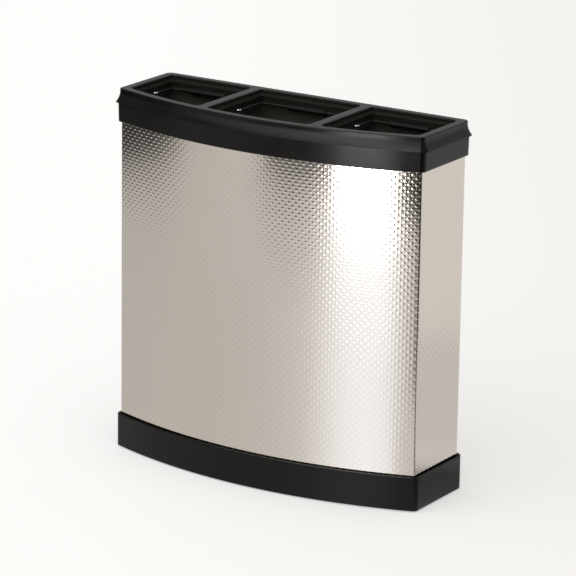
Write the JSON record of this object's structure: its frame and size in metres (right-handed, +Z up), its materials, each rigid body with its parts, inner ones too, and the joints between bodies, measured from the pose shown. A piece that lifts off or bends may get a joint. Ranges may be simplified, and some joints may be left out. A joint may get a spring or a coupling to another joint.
{
  "type": "litter bin",
  "caption": "Free-standing litter bin with a bowed embossed stainless jacket, black plastic base and lift-off crown, and lift-out liner buckets with wire bails.",
  "frame": {"origin": "on the ground, under the middle of the bin's outline", "axes": "+Z up, +X along the long straight back, -Y towards the bowed front"},
  "size_m": [0.5764, 0.2043, 0.6],
  "materials": {
    "black_moulding": "satin moulded",
    "liner_plastic": "fine grain",
    "grip_plastic": "satin",
    "foot_rubber": "matt",
    "embossed_steel": "bright rolled, basket-weave embossed",
    "rivet_aluminium": "satin",
    "zinc_fastener": "zinc plated",
    "bail_wire": "bright drawn wire"
  },
  "bodies": {
    "bin": {"base_tray": "black_moulding", "foot_front_left": "foot_rubber", "foot_front_right": "foot_rubber", "foot_rear_left": "foot_rubber", "foot_rear_right": "foot_rubber", "steel_jacket": "embossed_steel", "rear_panel": "embossed_steel", "rear_rivets": "rivet_aluminium", "tie_rod_front_left": "zinc_fastener", "tie_rod_front_right": "zinc_fastener", "tie_rod_rear_left": "zinc_fastener", "tie_rod_rear_right": "zinc_fastener", "lower_nuts": "zinc_fastener", "upper_nuts": "zinc_fastener", "collar_ring": "black_moulding"},
    "crown": {"crown_frame": "black_moulding"},
    "liner_left": {"bucket_left": "liner_plastic"},
    "handle_left": {"bail_left": "bail_wire", "grip_left": "grip_plastic"},
    "liner_middle": {"bucket_middle": "liner_plastic"},
    "handle_middle": {"bail_middle": "bail_wire", "grip_middle": "grip_plastic"},
    "liner_right": {"bucket_right": "liner_plastic"},
    "handle_right": {"bail_right": "bail_wire", "grip_right": "grip_plastic"}
  },
  "joints": [
    {"name": "crown_lift", "type": "slide", "parent": "bin", "child": "crown", "axis": [0, 0, 1], "range_m": [0, 0.08]},
    {"name": "liner_left_lift", "type": "slide", "parent": "bin", "child": "liner_left", "axis": [0, 0, 1], "range_m": [0, 0.61]},
    {"name": "liner_middle_lift", "type": "slide", "parent": "bin", "child": "liner_middle", "axis": [0, 0, 1], "range_m": [0, 0.61]},
    {"name": "liner_right_lift", "type": "slide", "parent": "bin", "child": "liner_right", "axis": [0, 0, 1], "range_m": [0, 0.61]},
    {"name": "handle_left_swing", "type": "hinge", "parent": "liner_left", "child": "handle_left", "pos_m": [-0.18943, 0.0231, 0.581], "axis": [1, 0, 0], "range_deg": [0, 180]},
    {"name": "handle_middle_swing", "type": "hinge", "parent": "liner_middle", "child": "handle_middle", "pos_m": [0, 0.0031, 0.581], "axis": [1, 0, 0], "range_deg": [0, 180]},
    {"name": "handle_right_swing", "type": "hinge", "parent": "liner_right", "child": "handle_right", "pos_m": [0.18943, 0.0231, 0.581], "axis": [1, 0, 0], "range_deg": [0, 180]}
  ]
}
